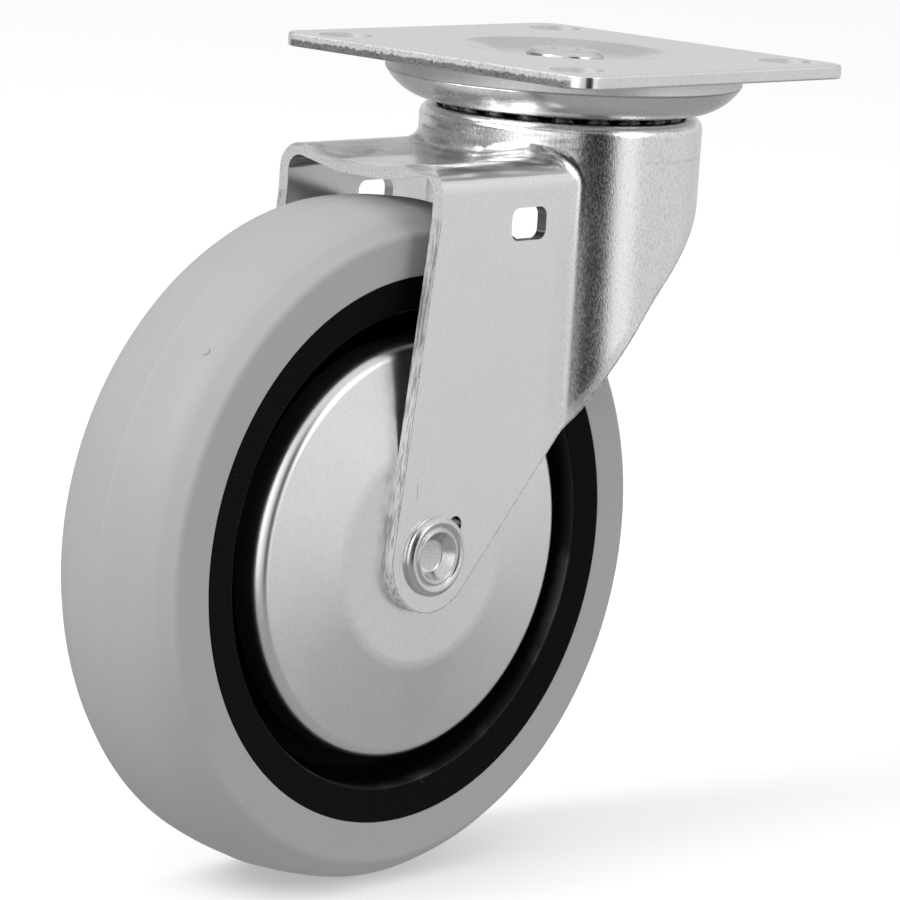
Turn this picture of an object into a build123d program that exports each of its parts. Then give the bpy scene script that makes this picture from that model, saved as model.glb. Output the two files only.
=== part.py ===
"""Swivel castor: a top plate on a double ball race, a one-piece pressed fork and a
rubber-tyred wheel on two ball bearings.

Millimetres.  The origin is the centre of the top plate's upper face, on the swivel axis,
with +Z up.  The wheel trails towards -X and its axle runs along Y.
"""
from build123d import *
import math
import os

# ---- overall -------------------------------------------------------------------------
tyre_diameter = 124.5           # nominal 125 mm wheel
swivel_offset = 49.2            # swivel axis to wheel axle
wheel_clearance = 4.0           # top of the tyre to the shelf above it
running_gap = 0.5               # between pieces that turn past each other
seat_gap = 0.05                 # between a pin and the hole it fills

# ---- top plate -----------------------------------------------------------------------
plate_length = 75.0             # along X
plate_width = 77.0              # along Y
plate_thickness = 2.5
plate_corner_radius = 5.0
plate_edge_radius = 0.4         # rolled edge of the blank
slot_margin_x = 8.5             # slot centre to the plate's end
slot_margin_y = 9.5             # slot centre to the plate's side
slot_width = 8.4                # takes an M8 bolt
slot_length = 11.0
dish_radius = 19.6              # shallow dish round the kingpin, at the upper face
dish_floor_radius = 13.0
dish_depth = 1.4
dish_edge_radius = 2.0

# ---- swivel head ---------------------------------------------------------------------
cup_radius = 33.4               # pressed cup that carries the upper race
cup_rim_height = 2.5            # straight rim below the plate
cup_depth = 8.1                 # plate's underside to the cup's underside
cup_floor_radius = 23.8
cup_sheet = 2.0
cup_centre_radius = 11.0        # raised middle, clamped under the plate
race_pitch_radius = 20.6        # upper race
race_ball_diameter = 6.0
race_ball_count = 21
race_play = 0.1                 # between a ball and its groove
race_ball_drop = 1.4            # ball centre below the cup's underside
lower_pitch_radius = 12.5       # lower race
lower_ball_diameter = 5.0
lower_ball_count = 15
lower_race_sheet = 2.0
kingpin_radius = 6.0
kingpin_shoulder_radius = 8.0
kingpin_head_radius = 7.3
kingpin_head_dimple = 2.6
kingpin_foot_radius = 8.7
kingpin_foot_height = 2.8

# ---- pressed fork --------------------------------------------------------------------
fork_sheet = 2.2
fork_half_width = 20.5          # outside of each leg
crown_radius = 26.5
crown_gap = 0.7                 # cup's underside to the crown's rim
crown_edge_radius = 2.2
crown_floor_drop = 1.5          # crown's middle below its rim
shelf_drop = 6.2                # crown's rim to the top of the leg bends
bend_radius = 5.0               # outside of the leg bends
trough_depth = 1.8              # shallow trough along the shelf
trough_floor_half = 6.0         # flat of the trough, each side of the middle
trough_round = 6.0              # where the trough's sides meet its floor
crown_blend_radius = 3.5        # between the crown and the shelf and legs
fork_front = 52.7               # swivel axis to the front edge of the shelf
fork_front_height = 9.5         # straight part of the front edge
front_blend_radius = 30.0
foot_radius = 10.6              # round the axle
rear_blend_radius = 40.0
window_length = 9.1
window_height = 6.0
window_corner_radius = 1.8
window_back = 29.5              # swivel axis to the window's middle
window_drop = 11.2              # top of the bends to the window's middle
key_width = 3.4                 # round-ended notch in the axle hole
key_reach = 8.9
key_angle = 45.0

# ---- axle and thread guards ----------------------------------------------------------
axle_radius = 6.0
spacer_radius = 8.0
flange_radius = 7.4
flange_height = 1.4
flange_roll = 0.65              # the rolled flange is rounded inside and out
axle_recess_radius = 4.8
axle_bore_radius = 3.4
axle_step_depth = 1.3
axle_recess_depth = 3.6
guard_sheet = 1.0
guard_radius = 37.5
guard_boss_radius = 11.5
guard_cone_radius = 22.0
guard_cone_round = 12.0         # blends the boss, cone and flat into each other
guard_drop = 1.7                # flat of the guard below its boss
guard_edge_radius = 2.2
guard_skirt = 4.3

# ---- wheel ---------------------------------------------------------------------------
tread_half_width = 10.8
tread_crown_radius = 51.0
shoulder_half_width = 14.9
shoulder_drop = 4.65            # shoulder below the top of the tread
shoulder_round = 5.0
rim_radius = 50.0
rim_half_width = 15.0
rim_inner_radius = 43.9
rim_bevel = 0.55                # inner edge of the rim's side lies lower
rim_edge_radius = 0.6
rim_lock_depth = 2.5            # groove that holds the tyre
rim_lock_half_width = 10.0
web_half_width = 4.5
hub_radius = 18.0
hub_half_width = 15.4
web_blend_radius = 3.0
tyre_seat_gap = 0.05

# ---- wheel bearings ------------------------------------------------------------------
bearing_outer_radius = 14.0
bearing_width = 8.0             # inner ring, which stands proud at its outer end
bearing_ring_step = 1.0         # outer ring is this much shorter
inner_ring_radius = 8.4
outer_ring_bore_radius = 11.6
bearing_ball_diameter = 4.6
bearing_ball_count = 8
bearing_groove_play = 0.08
cage_sheet = 0.5
cage_web = 0.6                  # cage beside a ball's pocket
cage_pocket_play = 0.16
shield_sheet = 0.4
shield_lip = 0.35               # shield's bore to the inner ring

# ---- places that follow from the sizes -----------------------------------------------
tyre_radius = tyre_diameter / 2
axle_x = -swivel_offset
bolt_spacing_x = plate_length - 2 * slot_margin_x
bolt_spacing_y = plate_width - 2 * slot_margin_y
plate_bottom = -plate_thickness
cup_bottom = plate_bottom - cup_depth
race_ball_z = cup_bottom - race_ball_drop
crown_top = cup_bottom - crown_gap
crown_floor = crown_top - crown_floor_drop
shelf_top = crown_top - shelf_drop
shelf_underside = shelf_top - trough_depth - fork_sheet
axle_z = shelf_underside - wheel_clearance - tyre_radius
overall_height = tyre_radius - axle_z
through_cut = 2 * overall_height
leg_inside = fork_half_width - fork_sheet
guard_inside = leg_inside - guard_sheet
race_groove_radius = race_ball_diameter / 2 + race_play
lower_groove_radius = lower_ball_diameter / 2 + race_play
groove_underside = race_ball_z - race_groove_radius - fork_sheet
floor_underside = crown_floor - fork_sheet
lower_ball_z = floor_underside - lower_ball_diameter / 2 + 0.7
lower_race_seat = lower_ball_z - 0.6
kingpin_foot_z = lower_race_seat - lower_race_sheet
bearing_outer_face = guard_inside
bearing_inner_face = bearing_outer_face - bearing_width
bearing_ring_face = bearing_outer_face - bearing_ring_step
SIDES = {"left": 1, "right": -1}


def revolved(half_section):
    """A full turn of a closed half section about Z."""
    return revolve(half_section, Axis.Z, 360)


def eased(half_section, radius, height, round_radius):
    """The half section with the corner at (radius, height) rounded."""
    corner = half_section.vertices().sort_by_distance(Vector(radius, 0, height))[0]
    return fillet(corner, round_radius)


def section(*points):
    """A closed straight-sided half section in (radius, height), on the XZ plane."""
    return make_face(Plane.XZ * Polyline(*points, close=True))


def round_groove(pitch_radius, height, radius):
    """The ring-shaped space swept by a ball as it rolls round its race."""
    return revolved(Plane.XZ * Pos(pitch_radius, height) * Circle(radius))


def ring_of_balls(pitch_radius, height, diameter, count):
    """Separate balls, evenly spaced round the swivel axis."""
    return [
        Pos(pitch_radius * math.cos(turn), pitch_radius * math.sin(turn), height)
        * Sphere(diameter / 2)
        for turn in (2 * math.pi * i / count for i in range(count))
    ]


def about_axle(solid, side=1):
    """Carry a piece modelled about Z, outer end up, to one end of the axle."""
    return Pos(axle_x, 0, axle_z) * Rot(-90 * side, 0, 0) * solid


# ---- top plate, cup, kingpin and lower race: what is bolted to the machine -------------
def dish_space():
    """What the dish takes out of the plate's upper face."""
    return revolved(
        section(
            (0, plate_thickness),
            (dish_radius, plate_thickness),
            (dish_radius, 0),
            (dish_floor_radius, -dish_depth),
            (0, -dish_depth),
        )
    )


def top_plate():
    outline = RectangleRounded(plate_length, plate_width, plate_corner_radius)
    plate = extrude(outline, -plate_thickness)
    plate = fillet(plate.edges().filter_by(Axis.Z, reverse=True), plate_edge_radius)
    boss = revolved(
        section(
            (0, plate_bottom),
            (dish_radius + plate_thickness / 2, plate_bottom),
            (dish_floor_radius + plate_thickness / 2, plate_bottom - dish_depth),
            (0, plate_bottom - dish_depth),
        )
    )
    plate = plate + boss - dish_space()
    rim_edges = plate.edges().filter_by(GeomType.CIRCLE)
    soft = [
        e for e in rim_edges
        if abs(e.radius - dish_radius) < 1e-3 or abs(e.radius - dish_floor_radius) < 1e-3
    ]
    plate = fillet(soft, dish_edge_radius)
    slot = SlotOverall(slot_length, slot_width)
    for x in (-bolt_spacing_x / 2, bolt_spacing_x / 2):
        for y in (-bolt_spacing_y / 2, bolt_spacing_y / 2):
            plate -= extrude(Pos(x, y, 0) * slot, through_cut, both=True)
    plate -= Cylinder(kingpin_radius + seat_gap, through_cut)
    return plate


def bearing_cup():
    """Pressed bowl under the plate; its floor carries the upper race."""
    bowl_radius = bowl_arc_radius(cup_radius - cup_floor_radius, cup_depth - cup_rim_height)
    outside = cup_half_section(0.0, bowl_radius)
    inside = cup_half_section(cup_sheet, bowl_radius)
    cup = revolved(outside) - revolved(inside)
    centre_top = plate_bottom - dish_depth
    centre = revolved(
        section(
            (0, centre_top),
            (cup_centre_radius, centre_top),
            (cup_centre_radius + cup_sheet, cup_bottom + cup_sheet),
            (cup_centre_radius + cup_sheet, cup_bottom),
            (0, cup_bottom),
        )
    )
    hollow = revolved(
        section(
            (0, cup_bottom - 1),
            (cup_centre_radius, cup_bottom - 1),
            (cup_centre_radius - cup_sheet / 2, centre_top - cup_sheet),
            (0, centre_top - cup_sheet),
        )
    )
    cup = cup + centre - hollow
    cup -= round_groove(race_pitch_radius, race_ball_z, race_groove_radius)
    cup -= Cylinder(kingpin_radius + seat_gap, through_cut)
    return cup


def bowl_arc_radius(run, drop):
    """Radius of the arc that leaves a flat floor tangentially and rises drop over run."""
    return (run * run + drop * drop) / (2 * drop)


def cup_half_section(inset, bowl_radius):
    """Half section of the bowl's outside (inset = 0) or of its hollow."""
    floor = cup_bottom + inset
    rim = cup_radius - inset
    arc_centre = cup_bottom + bowl_radius
    arc_radius = bowl_radius - inset
    run = rim - cup_floor_radius
    shoulder = arc_centre - math.sqrt(arc_radius * arc_radius - run * run)
    half = math.asin(run / arc_radius) / 2
    middle = (
        cup_floor_radius + arc_radius * math.sin(half),
        arc_centre - arc_radius * math.cos(half),
    )
    top = plate_bottom
    outline = [
        Line((0, floor), (cup_floor_radius, floor)),
        ThreePointArc((cup_floor_radius, floor), middle, (rim, shoulder)),
        Line((rim, shoulder), (rim, top)),
        Line((rim, top), (0, top)),
        Line((0, top), (0, floor)),
    ]
    return make_face(Plane.XZ * Wire(outline))


def kingpin():
    head_top = -0.15
    head_seat = -dish_depth
    shoulder_top = plate_bottom - dish_depth - cup_sheet
    pin = revolved(
        section(
            (0, head_top),
            (kingpin_head_radius - 1.0, head_top),
            (kingpin_head_radius, head_seat + 0.4),
            (kingpin_head_radius, head_seat),
            (kingpin_radius, head_seat),
            (kingpin_radius, shoulder_top),
            (kingpin_shoulder_radius, shoulder_top),
            (kingpin_shoulder_radius, lower_race_seat),
            (kingpin_radius, lower_race_seat),
            (kingpin_radius, kingpin_foot_z),
            (kingpin_foot_radius, kingpin_foot_z),
            (kingpin_foot_radius - 0.4, kingpin_foot_z - kingpin_foot_height * 0.6),
            (kingpin_foot_radius * 0.6, kingpin_foot_z - kingpin_foot_height),
            (0, kingpin_foot_z - kingpin_foot_height),
        )
    )
    pin -= Pos(0, 0, head_top + 1.0) * Sphere(kingpin_head_dimple)
    return pin


def lower_race():
    """Dished washer that the kingpin's foot holds up under the lower balls."""
    lip_top = lower_ball_z + lower_ball_diameter * 0.2
    lip = lower_pitch_radius + lower_groove_radius + lower_race_sheet * 0.85
    bottom = lower_ball_z - lower_groove_radius - lower_race_sheet
    race = revolved(
        section(
            (kingpin_radius + seat_gap, lower_race_seat),
            (lower_pitch_radius, lower_race_seat),
            (lower_pitch_radius, lip_top),
            (lip, lip_top),
            (lip, lower_ball_z - lower_race_sheet),
            (lower_pitch_radius + 1.2, bottom),
            (lower_pitch_radius - 1.2, bottom),
            (kingpin_foot_radius + 0.3, kingpin_foot_z),
            (kingpin_radius + seat_gap, kingpin_foot_z),
        )
    )
    race -= round_groove(lower_pitch_radius, lower_ball_z, lower_groove_radius)
    above = Pos(0, 0, lip_top) * Cylinder(
        lower_pitch_radius + lower_groove_radius, 2 * (lip_top - lower_ball_z)
    )
    return race - above


# ---- fork ------------------------------------------------------------------------------
def channel_section(inset):
    """Cross-section of the legs and shelf, seen along X: the outside, or inset by the sheet."""
    half = fork_half_width - inset
    corner = bend_radius - inset
    top = shelf_top - inset
    reach = fork_half_width - bend_radius
    bottom = axle_z - 2 * foot_radius
    lean = math.atan(trough_depth / (reach - trough_floor_half))
    corner_z = shelf_top - bend_radius
    join = (reach - corner * math.sin(lean), corner_z + corner * math.cos(lean))
    middle_turn = (math.pi / 2 - lean) / 2
    middle = (
        reach + corner * math.sin(middle_turn), corner_z + corner * math.cos(middle_turn)
    )
    floor = top - trough_depth
    foot = (join[0] - (join[1] - floor) / math.tan(lean), floor)
    run = FilletPolyline(
        join, foot, (-foot[0], floor), (-join[0], join[1]), radius=trough_round + inset
    )
    outline = [
        Line((half, bottom), (half, corner_z)),
        ThreePointArc((half, corner_z), middle, join),
        *run.edges(),
        ThreePointArc((-join[0], join[1]), (-middle[0], middle[1]), (-half, corner_z)),
        Line((-half, corner_z), (-half, bottom)),
        Line((-half, bottom), (half, bottom)),
    ]
    return make_face(Plane.YZ * Wire(outline))


def side_outline():
    """The fork seen from the side: straight front, round foot, rear edge up to the crown."""
    foot = (axle_x, axle_z)
    front_top = (-fork_front, crown_top + 5)
    front_knee = (-fork_front, shelf_top - fork_front_height)
    front_touch = tangent_point(front_knee, foot, foot_radius, -1)
    rear_knee = (axle_x + foot_radius * 3.2, axle_z + foot_radius * 2.1)
    rear_touch = tangent_point(rear_knee, foot, foot_radius, 1)
    rear_shoulder = (axle_x + foot_radius * 4.62, axle_z + foot_radius * 4.22)
    rear_top = (crown_radius + 1, shelf_top + 0.2)
    back_top = (crown_radius + 1, crown_top + 5)
    foot_bottom = (axle_x, axle_z - foot_radius)
    front = FilletPolyline(front_top, front_knee, front_touch, radius=front_blend_radius)
    rear = FilletPolyline(
        rear_touch, rear_knee, rear_shoulder, rear_top, radius=rear_blend_radius
    )
    arc = ThreePointArc(front_touch, foot_bottom, rear_touch)
    lid = Polyline(rear_top, back_top, front_top)
    outline = Wire(front.edges() + arc.edges() + rear.edges() + lid.edges())
    return make_face(Plane.XZ * outline)


def tangent_point(point, centre, radius, side):
    """Where the line from a point touches a circle; side picks which of the two."""
    dx, dz = point[0] - centre[0], point[1] - centre[1]
    away = math.atan2(dz, dx)
    turn = math.acos(radius / math.hypot(dx, dz))
    angle = away - side * turn
    return (centre[0] + radius * math.cos(angle), centre[1] + radius * math.sin(angle))


def fork_outside():
    depth = crown_top - (axle_z - 2 * foot_radius)
    legs = extrude(channel_section(0.0), fork_front + 15, dir=(-1, 0, 0))
    crown = Pos(0, 0, crown_top - depth / 2) * Cylinder(crown_radius, depth)
    body = legs + crown
    blend = [
        e for e in body.edges()
        if on_cylinder(e, crown_radius) and e.center().X < -1 and e.length > 0.5
        and not e.is_closed and e.center().Z < crown_top - 1 and e.center().Z > crown_top - depth + 1
    ]
    body = fillet(blend, crown_blend_radius)
    rim = body.edges().filter_by(GeomType.CIRCLE).filter_by_position(
        Axis.Z, crown_top - 0.01, crown_top + 0.01
    )
    return fillet(rim, crown_edge_radius)


def on_cylinder(edge, radius):
    """True if the whole edge lies on a cylinder of this radius about the swivel axis."""
    places = [edge.position_at(t) for t in (0.0, 0.25, 0.5, 0.75, 1.0)]
    return all(abs(math.hypot(p.X, p.Y) - radius) < 1e-3 for p in places)


def fork_hollow():
    """The space inside the sheet: between the legs, under the shelf and in the crown."""
    bottom = axle_z - 3 * foot_radius
    inner = crown_radius - fork_sheet
    between = extrude(channel_section(fork_sheet), fork_front + 20, dir=(-1, 0, 0))
    step = race_pitch_radius - race_groove_radius
    in_crown = revolved(
        section(
            (0, bottom),
            (inner, bottom),
            (inner, groove_underside),
            (step + 1.1, groove_underside),
            (step - 0.3, floor_underside),
            (0, floor_underside),
        )
    )
    return between + in_crown


def fork():
    body = fork_outside() & extrude(side_outline(), through_cut, both=True)
    body -= fork_hollow()
    body -= revolved(
        section(
            (0, crown_top + 3),
            (race_pitch_radius + race_groove_radius, crown_top + 3),
            (race_pitch_radius + race_groove_radius, race_ball_z),
            (race_pitch_radius, race_ball_z),
            (race_pitch_radius, crown_floor),
            (0, crown_floor),
        )
    )
    body -= round_groove(race_pitch_radius, race_ball_z, race_groove_radius)
    body -= round_groove(lower_pitch_radius, lower_ball_z, lower_groove_radius)
    body -= Cylinder(kingpin_shoulder_radius + running_gap, through_cut)
    window = RectangleRounded(window_length, window_height, window_corner_radius)
    body -= extrude(
        Plane.XZ * Pos(-window_back, shelf_top - window_drop) * window, through_cut, both=True
    )
    return body - key_hole()


# ---- axle, spacer and thread guards ----------------------------------------------------
def key_hole():
    """The axle hole with its notch, as it is punched through the legs and the guards."""
    notch = Rot(0, 0, key_angle) * Pos((key_reach - key_width / 2) / 2, 0) * Rectangle(
        key_reach - key_width / 2, key_width
    )
    tip = Rot(0, 0, key_angle) * Pos(key_reach - key_width / 2, 0) * Circle(key_width / 2)
    hole = Circle(axle_radius + seat_gap) + notch + tip
    return extrude(Plane.XZ * Pos(axle_x, axle_z) * hole, through_cut, both=True)


def axle_rivet():
    """Hollow rivet with its ends rolled over the legs."""
    top = fork_half_width + flange_height
    step = top - axle_step_depth
    floor = top - axle_recess_depth
    half = section(
        (0, 0),
        (axle_radius, 0),
        (axle_radius, fork_half_width),
        (flange_radius, fork_half_width),
        (flange_radius, top),
        (axle_recess_radius, top),
        (axle_recess_radius - flange_roll, step),
        (axle_bore_radius, step),
        (axle_bore_radius - flange_roll / 2, floor),
        (0, floor),
    )
    half = eased(half, flange_radius, top, flange_roll)
    half = eased(half, axle_recess_radius, top, flange_roll)
    end = revolved(half)
    return about_axle(end, 1) + about_axle(end, -1)


def spacer_tube():
    tube = Cylinder(spacer_radius, 2 * bearing_inner_face) - Cylinder(
        axle_radius + seat_gap, 2 * bearing_inner_face
    )
    return about_axle(tube)


def guard_section(inset):
    """Half section of the guard's outside (inset = 0) or of its hollow."""
    boss = leg_inside - inset
    flat = boss - guard_drop
    rim = guard_radius - inset
    low = leg_inside - guard_drop - guard_skirt
    half = section(
        (0, boss),
        (guard_boss_radius, boss),
        (guard_cone_radius, flat),
        (rim, flat),
        (rim, low),
        (0, low),
    )
    half = eased(half, rim, flat, guard_edge_radius - inset)
    half = eased(half, guard_boss_radius, boss, guard_cone_round + inset)
    return eased(half, guard_cone_radius, flat, guard_cone_round - inset)


def thread_guard(side):
    """Pressed disc: a flat boss under the leg, a shallow cone, a flat and a turned edge."""
    disc = revolved(guard_section(0.0)) - revolved(guard_section(guard_sheet))
    return about_axle(disc, side) - key_hole()


# ---- wheel ---------------------------------------------------------------------------
tread_half_width = 10.8
tread_crown_radius = 51.0
shoulder_half_width = 14.9
shoulder_drop = 4.65            # shoulder below the top of the tread
shoulder_round = 5.0
rim_radius = 50.0
rim_half_width = 15.0
rim_inner_radius = 43.9
rim_bevel = 0.55                # inner edge of the rim's side lies lower
rim_edge_radius = 0.6
rim_lock_depth = 2.5            # groove that holds the tyre
rim_lock_half_width = 10.0
web_half_width = 4.5
hub_radius = 18.0
hub_half_width = 15.4
web_blend_radius = 3.0
tyre_seat_gap = 0.05

# ---- wheel bearings ------------------------------------------------------------------
bearing_outer_radius = 14.0
bearing_width = 8.0             # inner ring, which stands proud at its outer end
bearing_ring_step = 1.0         # outer ring is this much shorter
inner_ring_radius = 8.4
outer_ring_bore_radius = 11.6
bearing_ball_diameter = 4.6
bearing_ball_count = 8
bearing_groove_play = 0.08
cage_sheet = 0.5
cage_web = 0.6                  # cage beside a ball's pocket
cage_pocket_play = 0.16
shield_sheet = 0.4
shield_lip = 0.35               # shield's bore to the inner ring

# ---- places that follow from the sizes -----------------------------------------------
tyre_radius = tyre_diameter / 2
axle_x = -swivel_offset
bolt_spacing_x = plate_length - 2 * slot_margin_x
bolt_spacing_y = plate_width - 2 * slot_margin_y
plate_bottom = -plate_thickness
cup_bottom = plate_bottom - cup_depth
race_ball_z = cup_bottom - race_ball_drop
crown_top = cup_bottom - crown_gap
crown_floor = crown_top - crown_floor_drop
shelf_top = crown_top - shelf_drop
shelf_underside = shelf_top - trough_depth - fork_sheet
axle_z = shelf_underside - wheel_clearance - tyre_radius
overall_height = tyre_radius - axle_z
through_cut = 2 * overall_height
leg_inside = fork_half_width - fork_sheet
guard_inside = leg_inside - guard_sheet
race_groove_radius = race_ball_diameter / 2 + race_play
lower_groove_radius = lower_ball_diameter / 2 + race_play
groove_underside = race_ball_z - race_groove_radius - fork_sheet
floor_underside = crown_floor - fork_sheet
lower_ball_z = floor_underside - lower_ball_diameter / 2 + 0.7
lower_race_seat = lower_ball_z - 0.6
kingpin_foot_z = lower_race_seat - lower_race_sheet
bearing_outer_face = guard_inside
bearing_inner_face = bearing_outer_face - bearing_width
bearing_ring_face = bearing_outer_face - bearing_ring_step
SIDES = {"left": 1, "right": -1}


def revolved(half_section):
    """A full turn of a closed half section about Z."""
    return revolve(half_section, Axis.Z, 360)


def eased(half_section, radius, height, round_radius):
    """The half section with the corner at (radius, height) rounded."""
    corner = half_section.vertices().sort_by_distance(Vector(radius, 0, height))[0]
    return fillet(corner, round_radius)


def section(*points):
    """A closed straight-sided half section in (radius, height), on the XZ plane."""
    return make_face(Plane.XZ * Polyline(*points, close=True))


def round_groove(pitch_radius, height, radius):
    """The ring-shaped space swept by a ball as it rolls round its race."""
    return revolved(Plane.XZ * Pos(pitch_radius, height) * Circle(radius))


def ring_of_balls(pitch_radius, height, diameter, count):
    """Separate balls, evenly spaced round the swivel axis."""
    return [
        Pos(pitch_radius * math.cos(turn), pitch_radius * math.sin(turn), height)
        * Sphere(diameter / 2)
        for turn in (2 * math.pi * i / count for i in range(count))
    ]


def about_axle(solid, side=1):
    """Carry a piece modelled about Z, outer end up, to one end of the axle."""
    return Pos(axle_x, 0, axle_z) * Rot(-90 * side, 0, 0) * solid


# ---- top plate, cup, kingpin and lower race: what is bolted to the machine -------------
def dish_space():
    """What the dish takes out of the plate's upper face."""
    return revolved(
        section(
            (0, plate_thickness),
            (dish_radius, plate_thickness),
            (dish_radius, 0),
            (dish_floor_radius, -dish_depth),
            (0, -dish_depth),
        )
    )


def top_plate():
    outline = RectangleRounded(plate_length, plate_width, plate_corner_radius)
    plate = extrude(outline, -plate_thickness)
    plate = fillet(plate.edges().filter_by(Axis.Z, reverse=True), plate_edge_radius)
    boss = revolved(
        section(
            (0, plate_bottom),
            (dish_radius + plate_thickness / 2, plate_bottom),
            (dish_floor_radius + plate_thickness / 2, plate_bottom - dish_depth),
            (0, plate_bottom - dish_depth),
        )
    )
    plate = plate + boss - dish_space()
    rim_edges = plate.edges().filter_by(GeomType.CIRCLE)
    soft = [
        e for e in rim_edges
        if abs(e.radius - dish_radius) < 1e-3 or abs(e.radius - dish_floor_radius) < 1e-3
    ]
    plate = fillet(soft, dish_edge_radius)
    slot = SlotOverall(slot_length, slot_width)
    for x in (-bolt_spacing_x / 2, bolt_spacing_x / 2):
        for y in (-bolt_spacing_y / 2, bolt_spacing_y / 2):
            plate -= extrude(Pos(x, y, 0) * slot, through_cut, both=True)
    plate -= Cylinder(kingpin_radius + seat_gap, through_cut)
    return plate


def bearing_cup():
    """Pressed bowl under the plate; its floor carries the upper race."""
    bowl_radius = bowl_arc_radius(cup_radius - cup_floor_radius, cup_depth - cup_rim_height)
    outside = cup_half_section(0.0, bowl_radius)
    inside = cup_half_section(cup_sheet, bowl_radius)
    cup = revolved(outside) - revolved(inside)
    centre_top = plate_bottom - dish_depth
    centre = revolved(
        section(
            (0, centre_top),
            (cup_centre_radius, centre_top),
            (cup_centre_radius + cup_sheet, cup_bottom + cup_sheet),
            (cup_centre_radius + cup_sheet, cup_bottom),
            (0, cup_bottom),
        )
    )
    hollow = revolved(
        section(
            (0, cup_bottom - 1),
            (cup_centre_radius, cup_bottom - 1),
            (cup_centre_radius - cup_sheet / 2, centre_top - cup_sheet),
            (0, centre_top - cup_sheet),
        )
    )
    cup = cup + centre - hollow
    cup -= round_groove(race_pitch_radius, race_ball_z, race_groove_radius)
    cup -= Cylinder(kingpin_radius + seat_gap, through_cut)
    return cup


def bowl_arc_radius(run, drop):
    """Radius of the arc that leaves a flat floor tangentially and rises drop over run."""
    return (run * run + drop * drop) / (2 * drop)


def cup_half_section(inset, bowl_radius):
    """Half section of the bowl's outside (inset = 0) or of its hollow."""
    floor = cup_bottom + inset
    rim = cup_radius - inset
    arc_centre = cup_bottom + bowl_radius
    arc_radius = bowl_radius - inset
    run = rim - cup_floor_radius
    shoulder = arc_centre - math.sqrt(arc_radius * arc_radius - run * run)
    half = math.asin(run / arc_radius) / 2
    middle = (
        cup_floor_radius + arc_radius * math.sin(half),
        arc_centre - arc_radius * math.cos(half),
    )
    top = plate_bottom
    outline = [
        Line((0, floor), (cup_floor_radius, floor)),
        ThreePointArc((cup_floor_radius, floor), middle, (rim, shoulder)),
        Line((rim, shoulder), (rim, top)),
        Line((rim, top), (0, top)),
        Line((0, top), (0, floor)),
    ]
    return make_face(Plane.XZ * Wire(outline))


def kingpin():
    head_top = -0.15
    head_seat = -dish_depth
    shoulder_top = plate_bottom - dish_depth - cup_sheet
    pin = revolved(
        section(
            (0, head_top),
            (kingpin_head_radius - 1.0, head_top),
            (kingpin_head_radius, head_seat + 0.4),
            (kingpin_head_radius, head_seat),
            (kingpin_radius, head_seat),
            (kingpin_radius, shoulder_top),
            (kingpin_shoulder_radius, shoulder_top),
            (kingpin_shoulder_radius, lower_race_seat),
            (kingpin_radius, lower_race_seat),
            (kingpin_radius, kingpin_foot_z),
            (kingpin_foot_radius, kingpin_foot_z),
            (kingpin_foot_radius - 0.4, kingpin_foot_z - kingpin_foot_height * 0.6),
            (kingpin_foot_radius * 0.6, kingpin_foot_z - kingpin_foot_height),
            (0, kingpin_foot_z - kingpin_foot_height),
        )
    )
    pin -= Pos(0, 0, head_top + 1.0) * Sphere(kingpin_head_dimple)
    return pin


def lower_race():
    """Dished washer that the kingpin's foot holds up under the lower balls."""
    lip_top = lower_ball_z + lower_ball_diameter * 0.2
    lip = lower_pitch_radius + lower_groove_radius + lower_race_sheet * 0.85
    bottom = lower_ball_z - lower_groove_radius - lower_race_sheet
    race = revolved(
        section(
            (kingpin_radius + seat_gap, lower_race_seat),
            (lower_pitch_radius, lower_race_seat),
            (lower_pitch_radius, lip_top),
            (lip, lip_top),
            (lip, lower_ball_z - lower_race_sheet),
            (lower_pitch_radius + 1.2, bottom),
            (lower_pitch_radius - 1.2, bottom),
            (kingpin_foot_radius + 0.3, kingpin_foot_z),
            (kingpin_radius + seat_gap, kingpin_foot_z),
        )
    )
    race -= round_groove(lower_pitch_radius, lower_ball_z, lower_groove_radius)
    above = Pos(0, 0, lip_top) * Cylinder(
        lower_pitch_radius + lower_groove_radius, 2 * (lip_top - lower_ball_z)
    )
    return race - above


# ---- fork ------------------------------------------------------------------------------
def channel_section(inset):
    """Cross-section of the legs and shelf, seen along X: the outside, or inset by the sheet."""
    half = fork_half_width - inset
    corner = bend_radius - inset
    top = shelf_top - inset
    reach = fork_half_width - bend_radius
    bottom = axle_z - 2 * foot_radius
    lean = math.atan(trough_depth / (reach - trough_floor_half))
    corner_z = shelf_top - bend_radius
    join = (reach - corner * math.sin(lean), corner_z + corner * math.cos(lean))
    middle_turn = (math.pi / 2 - lean) / 2
    middle = (
        reach + corner * math.sin(middle_turn), corner_z + corner * math.cos(middle_turn)
    )
    floor = top - trough_depth
    foot = (join[0] - (join[1] - floor) / math.tan(lean), floor)
    run = FilletPolyline(
        join, foot, (-foot[0], floor), (-join[0], join[1]), radius=trough_round + inset
    )
    outline = [
        Line((half, bottom), (half, corner_z)),
        ThreePointArc((half, corner_z), middle, join),
        *run.edges(),
        ThreePointArc((-join[0], join[1]), (-middle[0], middle[1]), (-half, corner_z)),
        Line((-half, corner_z), (-half, bottom)),
        Line((-half, bottom), (half, bottom)),
    ]
    return make_face(Plane.YZ * Wire(outline))


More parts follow.
